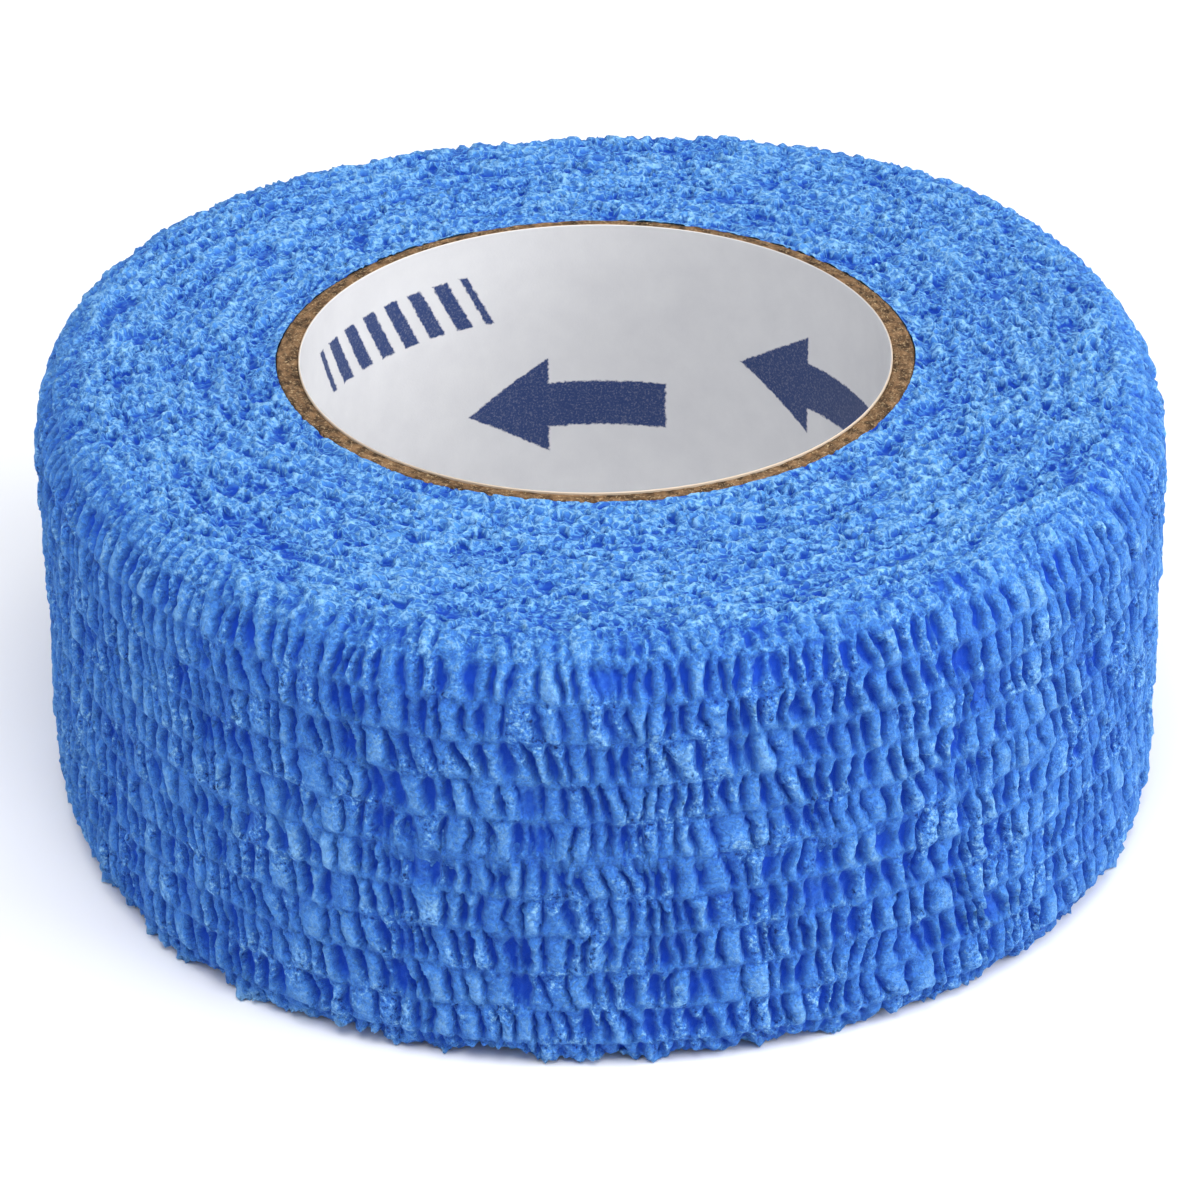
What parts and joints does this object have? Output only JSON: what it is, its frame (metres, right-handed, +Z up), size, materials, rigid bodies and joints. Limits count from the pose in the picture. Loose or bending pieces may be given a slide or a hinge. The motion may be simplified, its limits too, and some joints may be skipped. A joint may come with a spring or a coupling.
{
  "type": "cohesive bandage roll",
  "caption": "Crinkled self-clinging elastic bandage wound on a board core, standing on edge, for wrapping and holding dressings.",
  "frame": {"origin": "middle of the face that the roll rests on", "axes": "+Z up the core, away from the resting face; -Y towards the viewer of the picture"},
  "size_m": [0.0634, 0.0651, 0.0256],
  "materials": {
    "crepe_bandage": "matt crinkled nonwoven",
    "kraft_board": "raw cut edge",
    "liner_paper": "smooth coated"
  },
  "bodies": {
    "root": {"bandage_roll": "crepe_bandage", "core_tube": "kraft_board", "core_liner": "liner_paper"}
  },
  "joints": []
}
